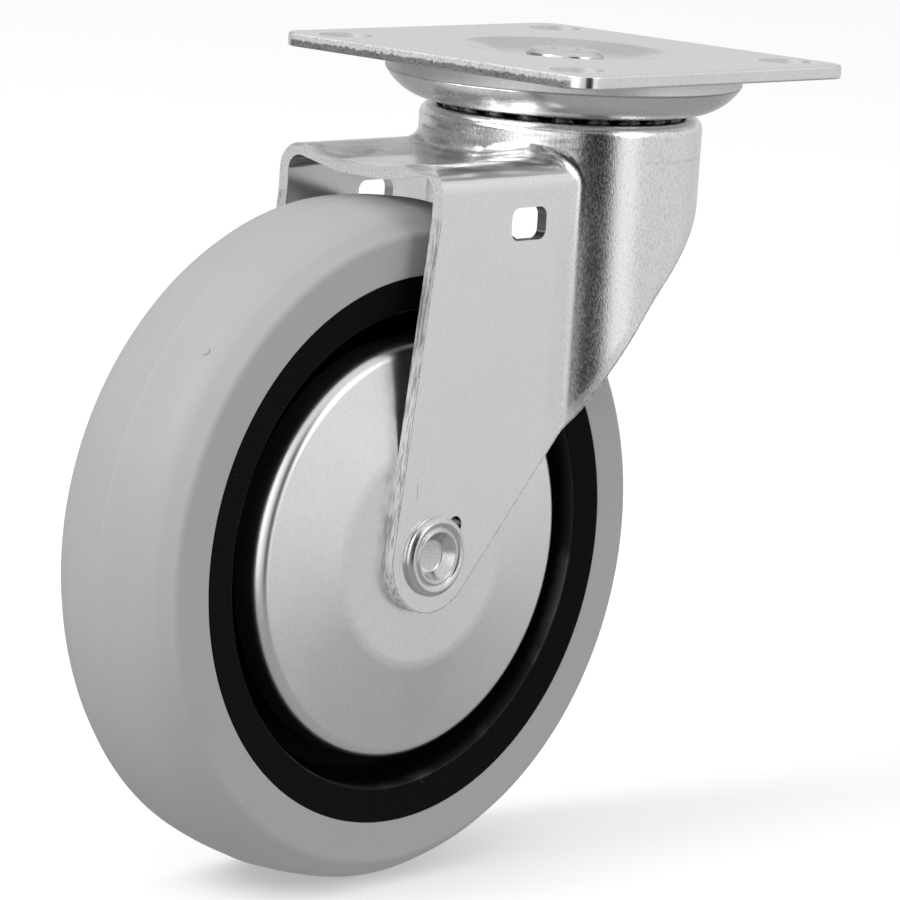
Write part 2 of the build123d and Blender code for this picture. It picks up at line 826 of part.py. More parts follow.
def side_outline():
    """The fork seen from the side: straight front, round foot, rear edge up to the crown."""
    foot = (axle_x, axle_z)
    front_top = (-fork_front, crown_top + 5)
    front_knee = (-fork_front, shelf_top - fork_front_height)
    front_touch = tangent_point(front_knee, foot, foot_radius, -1)
    rear_knee = (axle_x + foot_radius * 3.2, axle_z + foot_radius * 2.1)
    rear_touch = tangent_point(rear_knee, foot, foot_radius, 1)
    rear_shoulder = (axle_x + foot_radius * 4.62, axle_z + foot_radius * 4.22)
    rear_top = (crown_radius + 1, shelf_top + 0.2)
    back_top = (crown_radius + 1, crown_top + 5)
    foot_bottom = (axle_x, axle_z - foot_radius)
    front = FilletPolyline(front_top, front_knee, front_touch, radius=front_blend_radius)
    rear = FilletPolyline(
        rear_touch, rear_knee, rear_shoulder, rear_top, radius=rear_blend_radius
    )
    arc = ThreePointArc(front_touch, foot_bottom, rear_touch)
    lid = Polyline(rear_top, back_top, front_top)
    outline = Wire(front.edges() + arc.edges() + rear.edges() + lid.edges())
    return make_face(Plane.XZ * outline)


def tangent_point(point, centre, radius, side):
    """Where the line from a point touches a circle; side picks which of the two."""
    dx, dz = point[0] - centre[0], point[1] - centre[1]
    away = math.atan2(dz, dx)
    turn = math.acos(radius / math.hypot(dx, dz))
    angle = away - side * turn
    return (centre[0] + radius * math.cos(angle), centre[1] + radius * math.sin(angle))


def fork_outside():
    depth = crown_top - (axle_z - 2 * foot_radius)
    legs = extrude(channel_section(0.0), fork_front + 15, dir=(-1, 0, 0))
    crown = Pos(0, 0, crown_top - depth / 2) * Cylinder(crown_radius, depth)
    body = legs + crown
    blend = [
        e for e in body.edges()
        if on_cylinder(e, crown_radius) and e.center().X < -1 and e.length > 0.5
        and not e.is_closed and e.center().Z < crown_top - 1 and e.center().Z > crown_top - depth + 1
    ]
    body = fillet(blend, crown_blend_radius)
    rim = body.edges().filter_by(GeomType.CIRCLE).filter_by_position(
        Axis.Z, crown_top - 0.01, crown_top + 0.01
    )
    return fillet(rim, crown_edge_radius)


def on_cylinder(edge, radius):
    """True if the whole edge lies on a cylinder of this radius about the swivel axis."""
    places = [edge.position_at(t) for t in (0.0, 0.25, 0.5, 0.75, 1.0)]
    return all(abs(math.hypot(p.X, p.Y) - radius) < 1e-3 for p in places)


def fork_hollow():
    """The space inside the sheet: between the legs, under the shelf and in the crown."""
    bottom = axle_z - 3 * foot_radius
    inner = crown_radius - fork_sheet
    between = extrude(channel_section(fork_sheet), fork_front + 20, dir=(-1, 0, 0))
    step = race_pitch_radius - race_groove_radius
    in_crown = revolved(
        section(
            (0, bottom),
            (inner, bottom),
            (inner, groove_underside),
            (step + 1.1, groove_underside),
            (step - 0.3, floor_underside),
            (0, floor_underside),
        )
    )
    return between + in_crown


def fork():
    body = fork_outside() & extrude(side_outline(), through_cut, both=True)
    body -= fork_hollow()
    body -= revolved(
        section(
            (0, crown_top + 3),
            (race_pitch_radius + race_groove_radius, crown_top + 3),
            (race_pitch_radius + race_groove_radius, race_ball_z),
            (race_pitch_radius, race_ball_z),
            (race_pitch_radius, crown_floor),
            (0, crown_floor),
        )
    )
    body -= round_groove(race_pitch_radius, race_ball_z, race_groove_radius)
    body -= round_groove(lower_pitch_radius, lower_ball_z, lower_groove_radius)
    body -= Cylinder(kingpin_shoulder_radius + running_gap, through_cut)
    window = RectangleRounded(window_length, window_height, window_corner_radius)
    body -= extrude(
        Plane.XZ * Pos(-window_back, shelf_top - window_drop) * window, through_cut, both=True
    )
    return body - key_hole()


# ---- axle, spacer and thread guards ----------------------------------------------------
def key_hole():
    """The axle hole with its notch, as it is punched through the legs and the guards."""
    notch = Rot(0, 0, key_angle) * Pos((key_reach - key_width / 2) / 2, 0) * Rectangle(
        key_reach - key_width / 2, key_width
    )
    tip = Rot(0, 0, key_angle) * Pos(key_reach - key_width / 2, 0) * Circle(key_width / 2)
    hole = Circle(axle_radius + seat_gap) + notch + tip
    return extrude(Plane.XZ * Pos(axle_x, axle_z) * hole, through_cut, both=True)


def axle_rivet():
    """Hollow rivet with its ends rolled over the legs."""
    top = fork_half_width + flange_height
    step = top - axle_step_depth
    floor = top - axle_recess_depth
    half = section(
        (0, 0),
        (axle_radius, 0),
        (axle_radius, fork_half_width),
        (flange_radius, fork_half_width),
        (flange_radius, top),
        (axle_recess_radius, top),
        (axle_recess_radius - flange_roll, step),
        (axle_bore_radius, step),
        (axle_bore_radius - flange_roll / 2, floor),
        (0, floor),
    )
    half = eased(half, flange_radius, top, flange_roll)
    half = eased(half, axle_recess_radius, top, flange_roll)
    end = revolved(half)
    return about_axle(end, 1) + about_axle(end, -1)


def spacer_tube():
    tube = Cylinder(spacer_radius, 2 * bearing_inner_face) - Cylinder(
        axle_radius + seat_gap, 2 * bearing_inner_face
    )
    return about_axle(tube)


def thread_guard(side):
    """Pressed disc: a flat boss under the leg, a shallow cone, a flat and a turned edge."""
    def half(inset):
        boss = leg_inside - inset
        flat = boss - guard_drop
        rim = guard_radius - inset
        edge = guard_edge_radius - inset
        start = (guard_boss_radius, boss)
        foot = (guard_cone_radius, flat)
        turn_in = (rim - edge, flat)
        turn_mid = (
            rim - edge + edge * math.sin(math.pi / 4),
            flat - edge + edge * math.cos(math.pi / 4),
        )
        turn_out = (rim, flat - edge)
        low = (rim, leg_inside - guard_drop - guard_skirt)
        outline = [
            Line((0, boss), start),
            Line(start, foot),
            Line(foot, turn_in),
            ThreePointArc(turn_in, turn_mid, turn_out),
            Line(turn_out, low),
            Line(low, (0, low[1])),
            Line((0, low[1]), (0, boss)),
        ]
        return make_face(Plane.XZ * Wire(outline))

    disc = revolved(half(0.0)) - revolved(half(guard_sheet))
    disc -= Cylinder(axle_radius + seat_gap, through_cut)
    return about_axle(disc, side)


# ---- wheel -----------------------------------------------------------------------------
def rim_seat_outline(gap):
    """Half section of what the tyre sits on, out to its radius plus a gap."""
    low = rim_radius - rim_lock_depth + gap
    high = rim_radius + gap
    lock = rim_lock_half_width
    return [
        (high, rim_half_width),
        (high, lock + rim_lock_depth / 2),
        (low, lock),
        (low, -lock),
        (high, -lock - rim_lock_depth / 2),
        (high, -rim_half_width),
    ]


def tyre():
    shoulder = tyre_radius - shoulder_drop
    edge = tyre_radius - tread_crown_radius + math.sqrt(
        tread_crown_radius**2 - tread_half_width**2
    )
    seat = rim_seat_outline(tyre_seat_gap)
    right, left = (edge, tread_half_width), (edge, -tread_half_width)
    top = (tyre_radius, 0)
    far, near = (shoulder, shoulder_half_width), (shoulder, -shoulder_half_width)
    outline = [
        ThreePointArc(left, top, right),
        bulged(right, far),
        Line(far, seat[0]),
        *[Line(a, b) for a, b in zip(seat, seat[1:])],
        Line(seat[-1], near),
        bulged(near, left),
    ]
    return about_axle(revolved(make_face(Plane.XZ * Wire(outline))))


def bulged(a, b):
    """An arc from a to b that bulges away from the wheel's middle, for the shoulder."""
    run, rise = b[0] - a[0], b[1] - a[1]
    chord = math.hypot(run, rise)
    sagitta = shoulder_round - math.sqrt(shoulder_round**2 - chord * chord / 4)
    nx, ny = rise / chord, -run / chord
    if nx < 0:
        nx, ny = -nx, -ny
    return ThreePointArc(
        a, ((a[0] + b[0]) / 2 + nx * sagitta, (a[1] + b[1]) / 2 + ny * sagitta), b
    )


def wheel_core():
    """Moulded hub, web and rim in one piece."""
    seat = rim_seat_outline(0.0)
    inner_half = rim_half_width - rim_bevel
    seat_radius = bearing_outer_radius + seat_gap
    bore = spacer_radius + running_gap
    face = section(
        *seat,
        (rim_inner_radius, -inner_half),
        (rim_inner_radius - 1.0, -web_half_width),
        (hub_radius + 1.0, -web_half_width),
        (hub_radius, -hub_half_width),
        (seat_radius, -hub_half_width),
        (seat_radius, -bearing_inner_face),
        (bore, -bearing_inner_face),
        (bore, bearing_inner_face),
        (seat_radius, bearing_inner_face),
        (seat_radius, hub_half_width),
        (hub_radius, hub_half_width),
        (hub_radius + 1.0, web_half_width),
        (rim_inner_radius - 1.0, web_half_width),
        (rim_inner_radius, inner_half),
    )
    corners = [
        v for v in face.vertices()
        if abs(abs(v.Z) - web_half_width) < 1e-3
    ]
    face = fillet(corners, web_blend_radius)
    lips = [
        v for v in face.vertices()
        if abs(abs(v.Z) - inner_half) < 1e-3 or (
            abs(abs(v.Z) - hub_half_width) < 1e-3 and abs(v.X - hub_radius) < 1e-3
        )
    ]
    face = fillet(lips, rim_edge_radius)
    return about_axle(revolved(face))


# ---- wheel bearings --------------------------------------------------------------------
bearing_mid = (bearing_inner_face + bearing_ring_face) / 2
bearing_pitch = (inner_ring_radius + outer_ring_bore_radius) / 2


def bearing_groove():
    radius = bearing_ball_diameter / 2 + bearing_groove_play
    return round_groove(bearing_pitch, bearing_mid, radius)


def ring(inner, outer, low, high):
    """A plain ring about Z between two heights."""
    return revolved(section((inner, low), (outer, low), (outer, high), (inner, high)))


def bearing_inner_ring(side):
    blank = ring(axle_radius + seat_gap, inner_ring_radius, bearing_inner_face, bearing_outer_face)
    return about_axle(blank - bearing_groove(), side)


def bearing_outer_ring(side):
    blank = ring(
        outer_ring_bore_radius, bearing_outer_radius, bearing_inner_face, bearing_ring_face
    )
    return about_axle(blank - bearing_groove(), side)


def bearing_balls(side):
    balls = ring_of_balls(
        bearing_pitch, bearing_mid, bearing_ball_diameter, bearing_ball_count
    )
    return Compound(children=[about_axle(b, side) for b in balls])


def bearing_cage(side):
    """A thin ring with a round pocket for each ball."""
    half_height = bearing_ball_diameter / 2 + cage_web
    strip = ring(
        bearing_pitch - cage_sheet / 2, bearing_pitch + cage_sheet / 2,
        bearing_mid - half_height, bearing_mid + half_height,
    )
    pocket = Rot(0, 90, 0) * Cylinder(
        bearing_ball_diameter / 2 + cage_pocket_play, 2 * cage_sheet
    )
    for i in range(bearing_ball_count):
        turn = 360 * i / bearing_ball_count
        strip -= Rot(0, 0, turn) * Pos(bearing_pitch, 0, bearing_mid) * pocket
    return about_axle(strip, side)


def bearing_shield(side):
    blank = ring(
        inner_ring_radius + shield_lip, outer_ring_bore_radius - seat_gap,
        bearing_ring_face - shield_sheet, bearing_ring_face,
    )
    return about_axle(blank, side)


# ---- write one STEP file per piece -------------------------------------------------------
def pieces():
    yield "top_plate", top_plate()
    yield "bearing_cup", bearing_cup()
    yield "kingpin", kingpin()
    yield "lower_race", lower_race()
    yield "fork", fork()
    yield "upper_race_balls", Compound(children=ring_of_balls(
        race_pitch_radius, race_ball_z, race_ball_diameter, race_ball_count))
    yield "lower_race_balls", Compound(children=ring_of_balls(
        lower_pitch_radius, lower_ball_z, lower_ball_diameter, lower_ball_count))
    yield "axle_rivet", axle_rivet()
    yield "spacer_tube", spacer_tube()
    yield "tyre", tyre()
    yield "wheel_core", wheel_core()
    for name, side in SIDES.items():
        yield f"thread_guard_{name}", thread_guard(side)
        yield f"bearing_inner_ring_{name}", bearing_inner_ring(side)
        yield f"bearing_outer_ring_{name}", bearing_outer_ring(side)
        yield f"bearing_balls_{name}", bearing_balls(side)
        yield f"bearing_cage_{name}", bearing_cage(side)
        yield f"bearing_shield_{name}", bearing_shield(side)


os.makedirs("parts", exist_ok=True)
for node, shape in pieces():
    export_step(shape, f"parts/{node}.step")
    print(node, round(shape.volume, 1))
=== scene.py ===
# %% [markdown]
# # A swivel castor, dressed in Blender
# The castor arrives as solids: a top plate on a double ball race, a one-piece pressed fork
# and a rubber-tyred wheel on two bearings.  This lesson loads them, turns the round pieces
# again as smooth meshes with the small rolls, beads and nubs that a press or a mould leaves,
# gives every piece its own finish, and lights the result like a small product studio.

# %% Load the solids
import bmesh
import bpy
import math
from mathutils import Matrix, Vector


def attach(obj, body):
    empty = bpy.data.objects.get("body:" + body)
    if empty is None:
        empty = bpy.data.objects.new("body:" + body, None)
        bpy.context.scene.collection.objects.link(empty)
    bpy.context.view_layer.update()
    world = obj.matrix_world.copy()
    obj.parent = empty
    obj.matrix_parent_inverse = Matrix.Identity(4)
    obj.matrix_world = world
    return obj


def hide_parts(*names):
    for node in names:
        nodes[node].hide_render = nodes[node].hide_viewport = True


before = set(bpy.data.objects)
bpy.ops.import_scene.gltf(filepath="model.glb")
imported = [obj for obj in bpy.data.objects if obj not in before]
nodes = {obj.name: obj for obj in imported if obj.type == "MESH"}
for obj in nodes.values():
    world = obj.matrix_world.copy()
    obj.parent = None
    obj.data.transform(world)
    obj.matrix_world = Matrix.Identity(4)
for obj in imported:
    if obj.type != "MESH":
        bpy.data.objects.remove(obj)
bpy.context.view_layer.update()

# %% [markdown]
# ## Places and sizes
# Blender works in metres and castor drawings in millimetres, so sizes are written in
# millimetres and multiplied by `MM`.  The origin is the middle of the plate's upper face,
# on the swivel axis; the wheel trails towards -X and its axle runs along Y.

# %% Places and sizes
MM = 0.001
AXLE = Vector((-49.2, 0.0, -87.75)) * MM
TYRE_RADIUS = 62.25
LEG_OUTSIDE = 20.5
GROUND = -150.0 * MM
print("axle at", [round(c, 4) for c in AXLE], "ground at", GROUND)

# %% [markdown]
# ## Turning a piece
# Half of this castor is turned or spun: tyre, guards, rivet and kingpin.  Each can be drawn
# as half a section, its corners rounded one by one, and then turned about its axis.  A
# face gives the bevel operator real corners to round; only its outline is kept and spun, so
# the result is one closed skin with a clean row of quads round it.

# %% A turned piece
STEPS, FINE_STEPS, ROUND_STEPS = 160, 240, 6
SAME_POINT = 0.001 * MM
SHARP_FROM = math.radians(40)


def half_section(outline):
    """A flat face from (radius, height, rounding) corners, each rounded as asked."""
    mesh = bmesh.new()
    corners = [mesh.verts.new((radius * MM, 0.0, height * MM)) for radius, height, _ in outline]
    mesh.faces.new(corners)
    for corner, (_, _, rounding) in zip(corners, outline):
        if rounding:
            ways = [edge.other_vert(corner).co - corner.co for edge in corner.link_edges]
            reach = rounding * MM / math.tan(ways[0].angle(ways[1]) / 2)
            bmesh.ops.bevel(
                mesh, geom=[corner], offset=reach, offset_type="OFFSET", affect="VERTICES",
                segments=ROUND_STEPS, profile=0.5, material=-1,
            )
    return mesh


def turned(name, outline, place=Matrix(), steps=STEPS):
    """Turn a half section about Z, then carry it to its place."""
    mesh = half_section(outline)
    bmesh.ops.delete(mesh, geom=mesh.faces[:], context="FACES_ONLY")
    bmesh.ops.spin(
        mesh, geom=mesh.verts[:] + mesh.edges[:], cent=(0, 0, 0), axis=(0, 0, 1),
        angle=math.tau, steps=steps, use_merge=True,
    )
    bmesh.ops.remove_doubles(mesh, verts=mesh.verts[:], dist=SAME_POINT)
    return finished(name, mesh, place)


def finished(name, mesh, place=Matrix()):
    """Close a bmesh off as an object at the origin, smooth and facing outwards."""
    bmesh.ops.transform(mesh, matrix=place, verts=mesh.verts[:])
    bmesh.ops.recalc_face_normals(mesh, faces=mesh.faces[:])
    for face in mesh.faces:
        face.smooth = True
    data = bpy.data.meshes.new(name)
    mesh.to_mesh(data)
    mesh.free()
    data.set_sharp_from_angle(angle=SHARP_FROM)
    piece = bpy.data.objects.new(name, data)
    bpy.context.collection.objects.link(piece)
    even = piece.modifiers.new("even shading", "WEIGHTED_NORMAL")
    even.keep_sharp = True
    print(name, len(data.polygons), "faces")
    return piece


def along_axle(side):
    """Height becomes distance from the middle of the axle, towards +Y or -Y."""
    return Matrix.Translation(AXLE) @ Matrix.Rotation(math.radians(-90 * side), 4, "X")

# %% [markdown]
# ## A small language for shader maths
# A pattern is easier to read as arithmetic than as boxes and wires.  `Sock` wraps one
# output socket, so `1 - noise * 0.2` adds the Math nodes that it needs.

# %% Sockets that do sums
class Sock:
    """One output of a shader node, with arithmetic."""

    def __init__(self, shader, socket):
        self.shader, self.socket = shader, socket

    def _math(self, operation, *values):
        return self.shader.node("ShaderNodeMath", {"operation": operation}, *values)

    def __add__(self, other):
        return self._math("ADD", self, other)

    def __sub__(self, other):
        return self._math("SUBTRACT", self, other)

    def __rsub__(self, other):
        return self._math("SUBTRACT", other, self)

    def __mul__(self, other):
        return self._math("MULTIPLY", self, other)

    __radd__ = __add__
    __rmul__ = __mul__

    def __abs__(self):
        return self._math("ABSOLUTE", self)

    def __neg__(self):
        return self * -1.0

    def __or__(self, other):
        """The greater of two masks."""
        return self._math("MAXIMUM", self, other)

    def __and__(self, other):
        """The lesser of two masks."""
        return self._math("MINIMUM", self, other)

    def step(self, low, high):
        """0 below low, 1 above high, smooth between."""
        settings = {"interpolation_type": "SMOOTHSTEP"}
        return self.shader.node("ShaderNodeMapRange", settings, self, low, high, 0.0, 1.0)

    def band(self, middle, half, soft):
        """1 within half of the middle, 0 outside it."""
        return 1.0 - abs(self - middle).step(half - soft, half + soft)

    def rise(self, low, high):
        """A step between two millimetre marks; with low above high it falls instead."""
        return self.step(low * MM, high * MM)

    def line(self, middle, half, soft):
        """A band with its three sizes in millimetres."""
        return self.band(middle * MM, half * MM, soft * MM)


# %% [markdown]
# ## A tree that grows nodes
# Every node comes from one method: it takes the node's type, its settings, and the values
# or links of its sockets.  `Shader` adds a Principled surface and the few patterns that the
# castor's finishes share.

# %% Node trees
class Tree:
    """A node tree and the one method that adds nodes to it."""

    def __init__(self, tree):
        self.tree = tree

    def node(self, kind, settings=None, *values, out=0, **named):
        made = self.tree.nodes.new(kind)
        for key, value in (settings or {}).items():
            setattr(made, key, value)
        pairs = list(zip(made.inputs, values))
        pairs += [(made.inputs[key.replace("_", " ")], value) for key, value in named.items()]
        for socket, value in pairs:
            if isinstance(value, Sock):
                self.tree.links.new(value.socket, socket)
            else:
                socket.default_value = value
        return Sock(self, made.outputs[out])

    def parts(self, vector):
        """The three numbers in a vector."""
        split = self.node("ShaderNodeSeparateXYZ", None, vector).socket.node
        return [Sock(self, output) for output in split.outputs]


class Shader(Tree):
    """A material's node tree, with its Principled surface."""

    def __init__(self, name, **constants):
        self.material = bpy.data.materials.new(name)
        self.material.use_nodes = True
        super().__init__(self.material.node_tree)
        self.surface = self.tree.nodes["Principled BSDF"]
        for socket, value in constants.items():
            self.surface.inputs[socket.replace("_", " ")].default_value = value

    def coords(self, centre=(0.0, 0.0, 0.0), stretch=(1.0, 1.0, 1.0), turn=(0.0, 0.0, 0.0)):
        """Object coordinates, moved to a centre, turned and stretched."""
        place = self.node("ShaderNodeTexCoord", out="Object")
        offset = tuple(-c for c in centre)
        moved = self.node("ShaderNodeMapping", None, place, offset)
        turned_by = tuple(math.radians(angle) for angle in turn)
        return self.node("ShaderNodeMapping", None, moved, (0.0, 0.0, 0.0), turned_by, stretch)

    def from_axle(self):
        """Distance from the axle's line, in metres."""
        off = self.coords(centre=AXLE, stretch=(1.0, 0.0, 1.0))
        return self.node("ShaderNodeVectorMath", {"operation": "LENGTH"}, off, out="Value")

    def noise(self, vector, scale, detail, roughness):
        """Cloudy noise; the scale counts its patches in a metre."""
        return self.node(
            "ShaderNodeTexNoise", None, Vector=vector, Scale=scale, Detail=detail,
            Roughness=roughness,
        )

    def grey(self, value, low, high):
        """A neutral colour that runs from low to high as value runs from 0 to 1."""
        return self.node(
            "ShaderNodeMix", {"data_type": "RGBA"}, out="Result", Factor=value,
            A=(low, low, low, 1.0), B=(high, high, high, 1.0),
        )

    def feed(self, socket, value):
        self.tree.links.new(value.socket, self.surface.inputs[socket])

    def bump(self, height, distance, strength):
        """Raise the surface by a height pattern; the distance is in millimetres."""
        self.feed("Normal", self.node(
            "ShaderNodeBump", None, Strength=strength, Distance=distance * MM, Height=height
        ))

# %% [markdown]
# ## Putting a finish on
# A solid that was loaded is found by its node's name, and a piece made here is passed as it
# is.  Either way the finish takes the place of the plain material that it came with.

# %% Put on a finish
def finish_with(shader, *things):
    """Give every named solid or piece this material."""
    for thing in things:
        piece = nodes[thing] if isinstance(thing, str) else thing
        piece.data.materials.clear()
        piece.data.materials.append(shader.material)
    print(shader.material.name, "on", len(things))

# %% [markdown]
# ## The tyre
# A grey rubber ring moulded in two halves.  The halves meet in the middle of the tread and
# leave a fine raised line all the way round, and the point where the rubber was let in is a
# small flat button.  A moulding is never sharp, so each corner of the section is rounded.

# %% Tyre
TREAD_CROWN = 51.0
TREAD_END, TREAD_END_DROP, TREAD_ROUND = 12.1, 1.1, 4.0
TREAD_HALF, PARTING_HALF, PARTING_PROUD = 10.8, 0.16, 0.11
SHOULDER_HALF, SHOULDER_DROP, SHOULDER_ROUND = 14.9, 4.65, 1.6
SEAT_RADIUS, SEAT_HALF, BEAD_ROUND = 50.05, 15.0, 0.3
SEAT_LOCK, SEAT_LOCK_DEPTH, SEAT_LOCK_SLOPE = 10.0, 2.45, 1.2


def tread_radius(across):
    """The crowned tread: its radius this far from the middle."""
    return TYRE_RADIUS - TREAD_CROWN + math.sqrt(TREAD_CROWN**2 - across**2)


def tyre_section():
    """Corners of the tyre's half section, from one bead over the tread to the other."""
    seat = [
        (SEAT_RADIUS, SEAT_HALF, BEAD_ROUND), (SEAT_RADIUS, SEAT_LOCK + SEAT_LOCK_SLOPE, 0),
        (SEAT_RADIUS - SEAT_LOCK_DEPTH, SEAT_LOCK, 0),
    ]
    seat = seat + [(radius, -height, rounding) for radius, height, rounding in reversed(seat)]
    across = [*range(-10, 0, 2), -PARTING_HALF]
    tread = [(tread_radius(y), y, 0) for y in across] + [(TYRE_RADIUS + PARTING_PROUD, 0.0, 0)]
    tread += [(radius, -height, 0) for radius, height, _ in reversed(tread[:-1])]
    low = [
        (TYRE_RADIUS - SHOULDER_DROP, -SHOULDER_HALF, SHOULDER_ROUND),
        (tread_radius(TREAD_HALF) - TREAD_END_DROP, -TREAD_END, TREAD_ROUND),
    ]
    high = [(radius, -height, rounding) for radius, height, rounding in reversed(low)]
    return seat + low + tread + high


tyre = turned("tyre_moulding", tyre_section(), along_axle(1), steps=FINE_STEPS)

# %% The button on the tread
BUTTON_DRAFT, BUTTON_STEPS = 1.15, 24


def button(piece, across, angle, radius, proud):
    """Add a small flat-topped button to the tread at a place round the tyre."""
    mesh = bmesh.new()
    bmesh.ops.create_cone(
        mesh, cap_ends=True, segments=BUTTON_STEPS, radius1=radius * BUTTON_DRAFT * MM,
        radius2=radius * MM, depth=2 * proud * MM,
    )
    turn = math.radians(angle)
    outwards = Vector((math.cos(turn), 0.0, math.sin(turn)))
    place = AXLE + outwards * tread_radius(across) * MM + Vector((0.0, across, 0.0)) * MM
    face_out = outwards.to_track_quat("Z", "Y").to_matrix().to_4x4()
    bmesh.ops.transform(mesh, matrix=Matrix.Translation(place) @ face_out, verts=mesh.verts[:])
    mesh.from_mesh(piece.data)
    mesh.to_mesh(piece.data)
    mesh.free()


button(tyre, across=-8.6, angle=140.8, radius=0.75, proud=0.14)
print("tyre with its button:", len(tyre.data.polygons), "faces")
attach(tyre, "wheel")
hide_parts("tyre")

# %% [markdown]
# ## The thread guards
# Two pressed discs keep thread and hair out of the bearings.  Each stands on a flat boss
# under its leg, falls away in a shallow cone, and turns down at the rim.  A press stretches
# sheet round every corner, so the boss's round is wide and the rim's is small.

# %% Thread guards
GUARD_RADIUS, GUARD_FACE, GUARD_SHEET = 38.4, 18.3, 1.0
GUARD_HOLE, GUARD_BOSS = 9.0, 20.5
GUARD_DROP, GUARD_SKIRT = 3.1, 6.4
BOSS_ROUND, RIM_ROUND, HOLE_ROUND, SKIRT_ROUND = 14.0, 2.6, 0.15, 0.3


def guard_section():
    """Outside face from the hole to the skirt, then back along the inside."""
    rim = GUARD_FACE - GUARD_DROP
    skirt = rim - GUARD_SKIRT
    inner_radius, inner_face = GUARD_RADIUS - GUARD_SHEET, GUARD_FACE - GUARD_SHEET
    outside = [
        (GUARD_HOLE, GUARD_FACE, HOLE_ROUND), (GUARD_BOSS, GUARD_FACE, BOSS_ROUND),
        (GUARD_RADIUS, rim, RIM_ROUND), (GUARD_RADIUS, skirt, SKIRT_ROUND),
    ]
    inside = [
        (inner_radius, skirt, SKIRT_ROUND),
        (inner_radius, rim - GUARD_SHEET, RIM_ROUND - GUARD_SHEET),
        (GUARD_BOSS, inner_face, BOSS_ROUND), (GUARD_HOLE, inner_face, HOLE_ROUND),
    ]
    return outside + inside


guards = []
for side, name in ((1, "left"), (-1, "right")):
    guard = turned(f"guard_disc_{name}", guard_section(), along_axle(side), steps=FINE_STEPS)
    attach(guard, "fork")
    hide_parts(f"thread_guard_{name}")
    guards.append(guard)

# %% [markdown]
# ## The axle rivet
# A hollow rivet holds the wheel.  Its ends are spun over the legs by a rolling tool, which
# leaves a fat rolled flange, a fine groove, a second ring and a dished floor.

# %% Axle rivet
RIVET_SHANK, RIVET_TOP, RIVET_FLANGE = 6.0, 21.9, 7.4
FLOOR_RADIUS, FLOOR_DEPTH, DISH_RADIUS = 2.9, 2.2, 4.2
RING_INSIDE, RING_OUTSIDE, GROOVE_RADIUS, CREST_RADIUS = 4.5, 4.95, 5.3, 6.4


def rolled_end():
    """One end of the rivet, from its dished floor out and down to the leg."""
    dish = [
        (0.0, -FLOOR_DEPTH - 0.1, 0), (FLOOR_RADIUS, -FLOOR_DEPTH, 0.5), (DISH_RADIUS, -0.5, 0.5)
    ]
    second_ring = [(RING_INSIDE, -0.1, 0.2), (RING_OUTSIDE, -0.1, 0.2)]
    groove = [(GROOVE_RADIUS, -0.5, 0.15), (GROOVE_RADIUS + 0.35, -0.2, 0.2)]
    flange = [(CREST_RADIUS, 0.0, 0.5), (RIVET_FLANGE, -0.75, 0.5)]
    leg = [(RIVET_FLANGE - 0.1, LEG_OUTSIDE, 0), (RIVET_SHANK, LEG_OUTSIDE, 0)]
    spun = dish + second_ring + groove + flange
    return [(radius, RIVET_TOP + height, rounding) for radius, height, rounding in spun] + leg


far_end = [(radius, -height, rounding) for radius, height, rounding in reversed(rolled_end())]
rivet = turned("rolled_rivet", rolled_end() + far_end, along_axle(1))
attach(rivet, "fork")
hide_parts("axle_rivet")

# %% [markdown]
# ## The kingpin
# The pin that the whole castor swivels on.  Its head lies in the plate's dish, just below
# the mounting face, with a shallow dimple from the riveting tool; its foot is hammered out
# over the lower race.

# %% Kingpin
HEAD_RADIUS, HEAD_SEAT, DIMPLE_RADIUS = 7.3, -1.4, 2.0
NECK_RADIUS, SHANK_RADIUS, SHANK_TOP, SHANK_FOOT = 6.0, 8.0, -5.9, -17.4
FOOT_TOP, FOOT_END, FOOT_SPREAD = -19.4, -22.2, 8.7

pin_head = [
    (0.0, -0.75, 0), (DIMPLE_RADIUS, -0.6, 0.6), (DIMPLE_RADIUS + 1.0, -0.12, 0.5),
    (HEAD_RADIUS - 0.9, -0.2, 0.7), (HEAD_RADIUS, -0.85, 0.3), (HEAD_RADIUS, HEAD_SEAT, 0),
]
pin_shank = [
    (NECK_RADIUS, HEAD_SEAT, 0), (NECK_RADIUS, SHANK_TOP, 0), (SHANK_RADIUS, SHANK_TOP, 0),
    (SHANK_RADIUS, SHANK_FOOT, 0), (NECK_RADIUS, SHANK_FOOT, 0), (NECK_RADIUS, FOOT_TOP, 0),
]
pin_foot = [
    (FOOT_SPREAD, FOOT_TOP, 0.3), (FOOT_SPREAD - 0.4, FOOT_END + 1.1, 0.8),
    (FOOT_SPREAD - 3.5, FOOT_END, 0.8), (0.0, FOOT_END, 0),
]
kingpin = turned("riveted_kingpin", pin_head + pin_shank + pin_foot)
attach(kingpin, "plate")
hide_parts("kingpin")

# %% [markdown]
# ## Zinc plating
# Pressed steel is zinc plated in a drum.  The plating is bright but not a mirror: it has
# cloudy patches a centimetre wide and a crystalline grain under half a millimetre.  Where
# the press has drawn the sheet deep, the grain stands out and runs along the draw; where
# the sheet stayed flat, it is almost smooth.

# %% Zinc
EVEN = (1.0, 1.0, 1.0)
GRAIN_HEIGHT = 0.012


def zinc(name, level, rough, drawn, grain_scale=2400.0, run=(1.0, 1.0, 0.4)):
    """Zinc plating; drawn is a mask (or number) for where the sheet is stretched."""
    shader = Shader(name, Metallic=1.0)
    return zinc_on(shader, level, rough, drawn, grain_scale, run)


